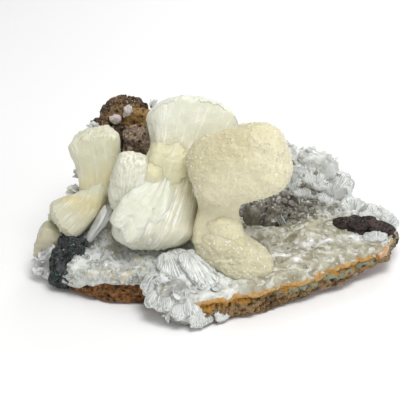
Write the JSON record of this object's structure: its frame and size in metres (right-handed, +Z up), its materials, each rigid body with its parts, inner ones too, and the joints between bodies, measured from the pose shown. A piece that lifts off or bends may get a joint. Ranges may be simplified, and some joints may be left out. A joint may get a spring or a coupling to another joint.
{
  "type": "stilbite mineral specimen",
  "caption": "Free-standing mineral specimen: bow-tie stilbite sheaves rising from a pale crystal crust over a slab of weathered basalt.",
  "frame": {"origin": "on the flat spot under the slab that the specimen rests on, below the middle of the slab", "axes": "+X to the viewer's right along the slab, +Y away from the viewer, +Z up"},
  "size_m": [0.1129, 0.0696, 0.057],
  "materials": {
    "weathered_basalt": "rough, pitted",
    "clear_crystal": "translucent, sparkling",
    "pale_stilbite": "silky, striated",
    "cream_stilbite": "sugary, granular",
    "yellow_stilbite": "silky, striated",
    "tan_stilbite": "waxy"
  },
  "bodies": {
    "root": {"basalt_matrix": "weathered_basalt", "crystal_crust": "clear_crystal", "centre_sheaf": "pale_stilbite", "front_sheaf": "cream_stilbite", "left_sheaf": "yellow_stilbite", "tan_crystal": "tan_stilbite"}
  },
  "joints": []
}
